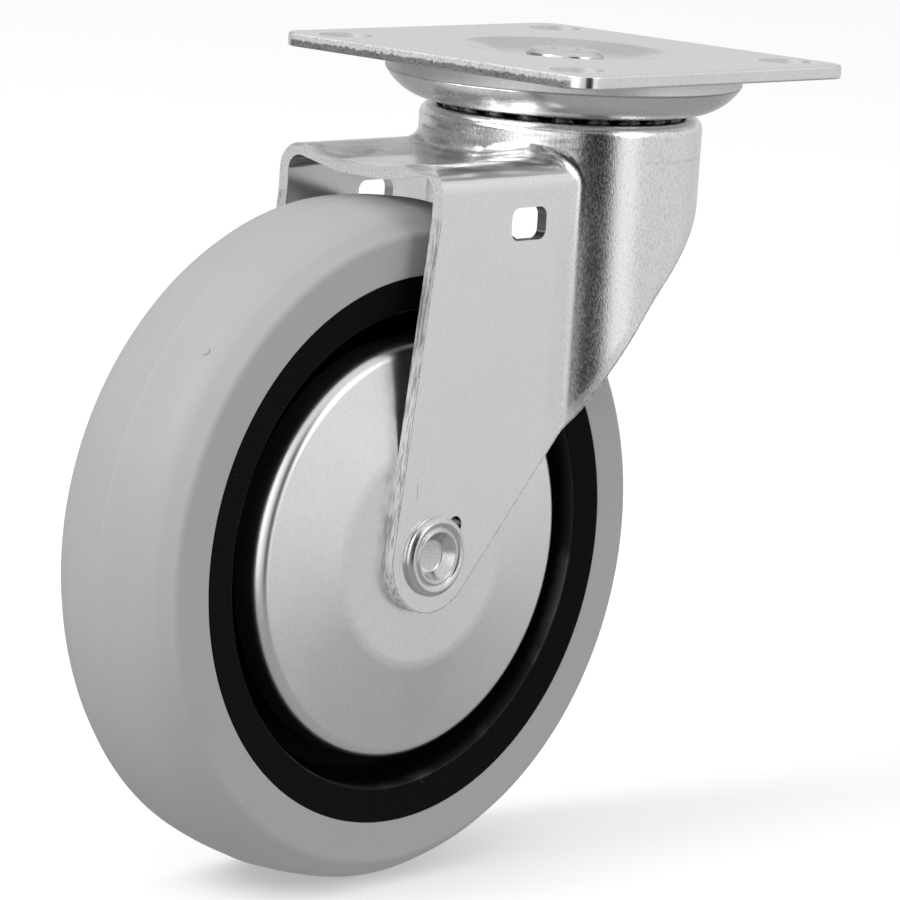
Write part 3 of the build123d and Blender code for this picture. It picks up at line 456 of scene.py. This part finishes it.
def zinc_on(shader, level, rough, drawn, grain_scale, run, dark=0.0, worn=0.0, ridges=0.0):
    """Lay zinc over a shader: darker places (torn steel, and painted shade where it is passed in),
    worn and rough places, and ridges in height.
    """
    cloud = shader.noise(shader.coords(), 70.0, 3.0, 0.55).step(0.3, 0.7) - 0.5
    grain = shader.noise(shader.coords(stretch=run), grain_scale, 3.0, 0.65)
    mottle = grain.step(0.25, 0.75) - 0.5
    tone = 0.94 + cloud * 0.03 + mottle * (0.07 + 0.35 * drawn) - dark
    shader.feed("Base Color", shader.grey(tone, 0.05, level))
    shader.feed("Roughness", rough + cloud * 0.03 + mottle * drawn * 0.12 + worn)
    shader.bump(grain * (0.08 + 2.0 * drawn) + ridges, GRAIN_HEIGHT, 0.8)
    return shader

# %% [markdown]
# ## The fork's zinc
# The fork keeps its solid, because a press made it and the solid has its exact bends.  Its
# finish tells the crown and the bulge behind the legs from the flat legs, draws the torn
# lines of the sheared edge and a line of painted shade along its rolled corner, and leaves a few
# handling scratches.
#
# To draw along that edge the finish has to know how far each point lies inside it.  The
# outline is straight runs and one round foot.  Beside a straight run the distance is a dot
# product with the direction that points out of it, and where two runs meet the greater or
# the lesser of the two counts.  In the wedge under the axle it is the distance from the axle.

# %% How far a point lies inside the fork's outline
FOOT_RADIUS, FOOT_ARC = 10.6, 0.299
FRONT_WAY, REAR_WAY, FOOT_WAY = (-0.9931, 0.0, 0.1172), (0.748, 0.0, -0.664), (-0.410, 0.0, -0.912)
MIDDLE_REAR, MIDDLE_WAY = Vector((-15.28, 0.0, -65.49)) * MM, (0.831, 0.0, -0.556)
UPPER_REAR, UPPER_WAY = Vector((-0.23, 0.0, -43.02)) * MM, (0.679, 0.0, -0.734)
SHELF_EDGE, KNEE_LOW, KNEE_HIGH = 52.7, -28, -26
fork_zinc = Shader("zinc_on_fork", Metallic=1.0)
x, _, z = fork_zinc.parts(fork_zinc.coords())


def along(way, centre=AXLE):
    """Distance from a centre along a direction."""
    off = fork_zinc.coords(centre=centre)
    settings = {"operation": "DOT_PRODUCT"}
    return fork_zinc.node("ShaderNodeVectorMath", settings, off, way, out="Value")


sides = along(FRONT_WAY) | along(REAR_WAY)
from_foot = fork_zinc.from_axle()
under_foot = (along(FOOT_WAY) - from_foot * FOOT_ARC).rise(-0.01, 0.01)
leg_line = sides * (1.0 - under_foot) + from_foot * under_foot - FOOT_RADIUS * MM
behind = along(MIDDLE_WAY, MIDDLE_REAR) & along(UPPER_WAY, UPPER_REAR)
outline = leg_line | behind
knee = z.rise(KNEE_LOW, KNEE_HIGH)
on_leg = 1.0 - knee
shelf_line = (-x - SHELF_EDGE * MM) * knee + outline * on_leg
print("outline drawn with", len(fork_zinc.tree.nodes), "nodes")

# %% [markdown]
# With that distance in hand the edges can be finished: the sheared face of the sheet is
# matt and streaked, its corner carries a fine dark line of painted shade, and the lip behind
# the legs is rubbed dull.  The crown has small wrinkles where the press gathered the sheet;
# their hollows are painted darker as painted shade, and so is the step round the crown.

# %% Fork
deep_drawn = x.rise(-21, -15) | z.rise(-18.5, -17)
sheared = shelf_line.rise(-0.14, -0.06) * x.rise(20, 19)
streaks = fork_zinc.noise(fork_zinc.coords(stretch=(1.0, 1.0, 0.03)), 2200.0, 2.0, 0.6)
specks = fork_zinc.noise(fork_zinc.coords(), 2600.0, 2.0, 0.6)
torn = sheared * (streaks.step(0.45, 0.62) * on_leg * 0.5 + specks.step(0.55, 0.66) * knee * 0.35)
# Painted shade: a fine dark line just inside the leg's outline, where its rounded edge meets the
# guard, broken up by specks.
corner = outline.line(-0.2, 0.09, 0.05) * (0.35 + specks.step(0.45, 0.6) * 0.35) * on_leg
front_face = sheared * ((-x).rise(50, 57) | knee)
lip = outline.rise(-2.6, -0.8) * x.rise(-23, -15)
seam = x.line(-18.5, 3.0, 1.5) * (-z).rise(22, 40)

scratch_run = fork_zinc.coords(stretch=(1.0, 1.0, 0.09), turn=(0.0, 34.0, 0.0))
scratches = fork_zinc.noise(scratch_run, 900.0, 1.0, 0.4).step(0.74, 0.78)
patches = fork_zinc.noise(fork_zinc.coords(centre=(0.013, 0.0, 0.004)), 60.0, 1.0, 0.5)
scratches = scratches * patches.step(0.56, 0.62)
# The step round the crown: a ridge in height, and painted a little darker along it as painted shade.
ring_step = z.line(-18.2, 0.3, 0.2) * x.rise(-5, 4)
wrinkle_run = fork_zinc.coords(stretch=(0.22, 0.22, 1.5))
wrinkles = fork_zinc.noise(wrinkle_run, 420.0, 2.0, 0.5)
gathered = z.rise(-21, -18) * (1.0 - z.rise(-13.5, -12)) * x.rise(-13, -20)
# Painted shade: the hollows of the crown's wrinkles are darkened in colour.
crease_painted_shade = gathered * wrinkles.step(0.5, 0.7) * 0.45
relief = sheared * (streaks * on_leg * 3.0 + specks) + gathered * wrinkles * 12.0

zinc_on(
    fork_zinc, level=0.87, rough=0.19, drawn=deep_drawn, grain_scale=3000.0, run=(1.0, 1.0, 0.5),
    dark=torn | scratches * 0.2 | ring_step * 0.10 | corner | crease_painted_shade,
    worn=sheared * 0.28 + lip * 0.2 + seam * 0.2,
    ridges=ring_step * 1.2 + relief,
)
fork_zinc.feed("Metallic", 1.0 - front_face * (0.75 - z.rise(-48, -40) * 0.35))
finish_with(fork_zinc, "fork")

# %% [markdown]
# ## The plate's zinc
# The plate is blanked from sheet.  Blanking burnishes the upper half of an edge and tears
# the rest, so the two ends of the plate show a bright line over a dark, rough one.

# %% Plate
plate_zinc = Shader("zinc_on_plate", Metallic=1.0)
x, y, z = plate_zinc.parts(plate_zinc.coords())
PLATE_X, PLATE_Y, SLOT_PLACE = 37.5, 38.5, 29
EDGE_FROM, EDGE_TO, TEAR_WANDER = 0.35, 0.2, 1.6
ends = abs(x).rise(PLATE_X - EDGE_FROM, PLATE_X - EDGE_TO)
sides = abs(y).rise(PLATE_Y - EDGE_FROM, PLATE_Y - EDGE_TO)
torn_line = plate_zinc.noise(plate_zinc.coords(), 1300.0, 2.0, 0.6)
tear = (z + (torn_line - 0.5) * TEAR_WANDER * MM).rise(-1.35, -1.05)
crumbs = plate_zinc.noise(plate_zinc.coords(), 2600.0, 2.0, 0.7)
pits = crumbs.step(0.52, 0.62)
edge_lines = plate_zinc.noise(plate_zinc.coords(stretch=(0.06, 0.06, 1.0)), 2600.0, 2.0, 0.6)
slots = abs(x).line(SLOT_PLACE, 5.6, 0.1) & abs(y).line(SLOT_PLACE, 4.3, 0.1)
zinc_on(
    plate_zinc, level=0.84, rough=0.17, drawn=0.1, grain_scale=1500.0, run=EVEN,
    dark=ends * ((1.0 - tear) * (0.35 + pits * 0.35) + tear * pits * 0.35),
    worn=ends * 0.25 + sides * 0.12 + slots * 0.45,
    ridges=ends * crumbs * 4.0 + sides * edge_lines * 2.0,
)
plate_zinc.feed("Metallic", 1.0 - ends * tear * 0.6)
finish_with(plate_zinc, "top_plate")

# %% [markdown]
# ## Cup, guards, races and rivets
# The cup is smoother than the fork, with a faint crease where its straight rim meets the
# bowl, drawn as a groove and painted darker as painted shade.  The guards come out of the drum a
# little duller.
# The rivets are softer steel with a fine skin.

# %% Cup, guards and rivets
cup_zinc = Shader("zinc_on_cup", Metallic=1.0)
z = cup_zinc.parts(cup_zinc.coords())[2]
# The crease: a groove in height and a darker band of painted shade.
crease_with_painted_shade = z.line(-5.25, 0.15, 0.1)
rim = z.rise(-5.4, -5.0)
zinc_on(
    cup_zinc, level=0.82, rough=0.27, drawn=0.2, grain_scale=2600.0, run=(0.4, 0.4, 1.0),
    dark=crease_with_painted_shade * 0.4, worn=rim * 0.22, ridges=crease_with_painted_shade * -4.0,
)
finish_with(cup_zinc, "bearing_cup")

race_zinc = zinc("zinc_on_race", level=0.6, rough=0.25, drawn=0.5)
finish_with(race_zinc, "lower_race")
guard_zinc = zinc("zinc_on_guards", level=0.84, rough=0.29, drawn=0.04, grain_scale=1400.0, run=EVEN)
finish_with(guard_zinc, *guards)
rivet_zinc = zinc("zinc_on_rivets", level=0.72, rough=0.20, drawn=0.4, run=EVEN)
finish_with(rivet_zinc, rivet, kingpin)

# %% [markdown]
# ## Bearing steel
# The balls of the swivel run in grease in a narrow gap; their colour is painted nearly black as
# painted shade of that gap.
# The wheel bearings behind the guards are ground, with fine lines round the axle.

# %% Bearing steel
def bearing_steel(name, level, rough, wander=0.06):
    """Plain or ground steel; fine streaks change its level and its gloss a little."""
    shader = Shader(name, Metallic=1.0)
    streaks = shader.noise(shader.coords(stretch=(0.2, 1.0, 0.2)), 1800.0, 2.0, 0.5)
    smear = shader.noise(shader.coords(), 300.0, 2.0, 0.5)
    shader.feed("Base Color", shader.grey(streaks * 0.5 + smear * 0.5, level * 0.8, level * 1.2))
    shader.feed("Roughness", rough + (streaks - 0.5) * wander + (smear - 0.5) * wander)
    shader.bump(streaks, 0.004, 0.5)
    return shader


# Nearly black: painted shade of the gap that the balls sit in.
balls_in_painted_shade = bearing_steel("balls_painted_dark_as_shade", 0.09, 0.25, 0.3)
finish_with(balls_in_painted_shade, "upper_race_balls", "lower_race_balls")
polished = bearing_steel("polished_balls", 0.62, 0.10)
ground = bearing_steel("ground_rings", 0.55, 0.24)
pressed = bearing_steel("pressed_cages", 0.50, 0.32)
for side in ("left", "right"):
    finish_with(polished, f"bearing_balls_{side}")
    finish_with(ground, f"bearing_inner_ring_{side}", f"bearing_outer_ring_{side}")
    finish_with(pressed, f"bearing_cage_{side}", f"bearing_shield_{side}")
finish_with(ground, "spacer_tube")

# %% [markdown]
# ## Grey rubber
# Non-marking rubber: matt, even, a touch mottled, with dusty patches where it has rolled.

# %% Rubber
rubber = Shader("grey_rubber", Roughness=0.55, Specular_IOR_Level=0.3)
skin = rubber.noise(rubber.coords(), 900.0, 3.0, 0.6)
cast = rubber.noise(rubber.coords(), 45.0, 3.0, 0.55)
parting = rubber.parts(rubber.coords())[1].line(0.0, 0.15, 0.08)
rubber.feed("Base Color", rubber.grey(skin * 0.35 + cast * 0.65 + parting * 0.8, 0.39, 0.45))
rubber.feed("Roughness", 0.5 + (cast - 0.5) * 0.2)
rubber.bump(skin + cast * 3.0, 0.02, 0.35)
finish_with(rubber, tyre)

# %% [markdown]
# ## Black plastic
# The wheel's core is moulded in one piece.  Its rim has the fine eroded texture of the
# mould, its inner lip carries a paler line of painted highlight, and stray specks of dust lie on it
# in patches.

# %% Plastic
CORE_LIP = 43.9
plastic = Shader("black_plastic", Roughness=0.5, Specular_IOR_Level=0.04)
skin = plastic.noise(plastic.coords(), 1400.0, 2.0, 0.6)
dust = plastic.noise(plastic.coords(), 1700.0, 1.0, 0.5).step(0.76, 0.80)
patches = plastic.noise(plastic.coords(), 70.0, 2.0, 0.5).step(0.5, 0.62)
# Painted highlight: a paler line along the rounded inner lip.
lip_painted_highlight = plastic.from_axle().line(CORE_LIP, 0.15, 0.2) * (0.2 + patches * 0.5)
dust_and_painted_highlight = skin * 0.04 + dust * patches * 0.5 + lip_painted_highlight
plastic.feed("Base Color", plastic.grey(dust_and_painted_highlight, 0.0015, 0.12))
plastic.feed("Roughness", 0.45 + skin * 0.2)
plastic.bump(skin, 0.03, 0.5)
finish_with(plastic, "wheel_core")

# %% [markdown]
# ## The floor
# A pale sweep under the wheel.  Polished metal would show its far edge, so reflections do
# not see it, and it throws no light back up: the underside of the wheel stays dark, as it
# does on a small table in a large room.

# %% Floor
def pale_floor(height, half, glow):
    """A floor that the camera sees, and that neither reflections nor bounced light do."""
    mesh = bmesh.new()
    bmesh.ops.create_grid(mesh, x_segments=1, y_segments=1, size=half)
    bmesh.ops.translate(mesh, verts=mesh.verts, vec=(0, 0, height))
    data = bpy.data.meshes.new("floor")
    mesh.to_mesh(data)
    mesh.free()
    floor = bpy.data.objects.new("floor", data)
    bpy.context.collection.objects.link(floor)
    shader = Shader(
        "pale_floor", Roughness=0.9, Base_Color=(0.9, 0.9, 0.9, 1.0),
        Emission_Color=(1.0, 1.0, 1.0, 1.0), Emission_Strength=glow,
    )
    finish_with(shader, floor)
    floor.visible_glossy = False
    floor.visible_diffuse = False


pale_floor(GROUND, half=6.0, glow=0.22)

# %% [markdown]
# ## Lamps
# One large lamp, high on the side the tread faces, models the tyre; a weak one in front of
# the legs keeps their flats from going dead.

# %% Lamps
MIDDLE = (-0.03, 0.0, -0.07)


def soft_lamp(name, place, size, power):
    """A round area lamp that looks at the middle of the castor; its power is in watts."""
    data = bpy.data.lights.new(name, "AREA")
    data.shape, data.size, data.energy = "DISK", size, power
    lamp = bpy.data.objects.new(name, data)
    lamp.location = place
    aim = Vector(MIDDLE) - Vector(place)
    lamp.rotation_euler = aim.to_track_quat("-Z", "Y").to_euler()
    bpy.context.collection.objects.link(lamp)


soft_lamp("key", (-1.2, 0.25, 0.9), size=0.8, power=12.0)
soft_lamp("fill", (0.35, -1.3, 0.5), size=0.7, power=2.0)
print("lamps:", [lamp.name for lamp in bpy.data.lights])

# %% [markdown]
# ## The room that the zinc reflects
# Plating shows the room more than itself, so the sky is built as a room: an even level,
# with lit and unlit walls set at compass directions.  Where two walls overlap, the later
# one covers the earlier.  Heights are sines of the angle above the horizon, so -1 is
# straight down and 1 straight up.  The camera itself sees plain white.

# %% Room
WALL_TOP_SOFT = 0.06
LIFT_FROM, LIFT_TO, LIFT = -0.1, 0.3, 0.14
CEILING_FROM, CEILING_TO = 0.45, 0.85
FLOOR_FROM, FLOOR_TO, FLOOR_BOUNCE = 0.1, 0.45, 0.2


def compass(degrees):
    """A level direction, counted from +X towards +Y."""
    turn = math.radians(degrees)
    return (math.cos(turn), math.sin(turn), 0.0)


def room(walls, base, overhead, below):
    """A sky whose level changes round the compass and from floor to ceiling."""
    world = bpy.data.worlds.new("room")
    bpy.context.scene.world = world
    world.use_nodes = True
    tree = Tree(world.node_tree)
    ray = tree.node("ShaderNodeTexCoord", out="Generated")
    flat = tree.node("ShaderNodeVectorMath", {"operation": "MULTIPLY"}, ray, (1.0, 1.0, 0.0))
    flat = tree.node("ShaderNodeVectorMath", {"operation": "NORMALIZE"}, flat)
    height = tree.parts(ray)[2]
    # The sums below need a socket to start from, so the base level becomes one.
    light = tree.node("ShaderNodeMath", {"operation": "ADD"}, base, 0.0)
    for degrees, half, soft, low, high, level in walls:
        along = tree.node(
            "ShaderNodeVectorMath", {"operation": "DOT_PRODUCT"}, flat, compass(degrees),
            out="Value",
        )
        near, far = math.radians(half - soft), math.radians(half + soft)
        mask = along.step(math.cos(far), math.cos(near))
        if low is not None:
            mask = mask * height.band((low + high) / 2, (high - low) / 2, WALL_TOP_SOFT)
        light = light * (1.0 - mask) + mask * level
    light = light * (0.98 + height.step(LIFT_FROM, LIFT_TO) * LIFT)
    up, down = height.step(CEILING_FROM, CEILING_TO), (-height).step(FLOOR_FROM, FLOOR_TO)
    light = light * (1.0 - up) + up * overhead
    diffuse = tree.node("ShaderNodeLightPath", out="Is Diffuse Ray")
    light = light * (1.0 - down) + down * (below + diffuse * FLOOR_BOUNCE)
    seen = tree.node("ShaderNodeLightPath", out="Is Camera Ray")
    light = light * (1.0 - seen) + seen * 1.0
    background = tree.tree.nodes["Background"]
    background.inputs["Color"].default_value = (1.0, 1.0, 1.0, 1.0)
    tree.tree.links.new(light.socket, background.inputs["Strength"])


WALLS = (
    # direction, half width, softness, lowest and highest sine of elevation, level
    (121, 46, 14, None, None, 0.25),
    (43, 50, 12, -0.2, 0.17, 0.68),
    (43, 50, 12, 0.20, 0.55, 0.50),
    (-163, 16, 8, None, None, 1.35),
    (-106, 15, 5, None, None, 0.02),
    (-80, 8, 6, None, None, 1.1),
)
room(WALLS, base=0.76, overhead=0.85, below=0.38)
print("walls in the room:", len(WALLS))

# %% [markdown]
# ## Camera
# A long lens, a little above the plate, looks at the tread and the near side of the wheel.

# %% Camera
def long_lens(place, right, up, focal):
    """A camera from its place, the directions of its right and top, and its focal length."""
    data = bpy.data.cameras.new("camera")
    data.sensor_width, data.lens = 36.0, focal
    data.clip_start, data.clip_end = 0.01, 50.0
    camera = bpy.data.objects.new("camera", data)
    turn = Matrix((right, up, right.cross(up))).transposed()
    camera.matrix_world = Matrix.Translation(place) @ turn.to_4x4()
    bpy.context.collection.objects.link(camera)
    bpy.context.scene.camera = camera


long_lens(
    place=Vector((-0.639889, -0.572378, 0.079066)),
    right=Vector((0.68802, -0.72306, 0.06179)).normalized(),
    up=Vector((0.08826, 0.16789, 0.98185)).normalized(),
    focal=184.23,
)
bpy.context.scene.view_settings.view_transform = "Standard"
print("lens:", round(bpy.context.scene.camera.data.lens), "mm")
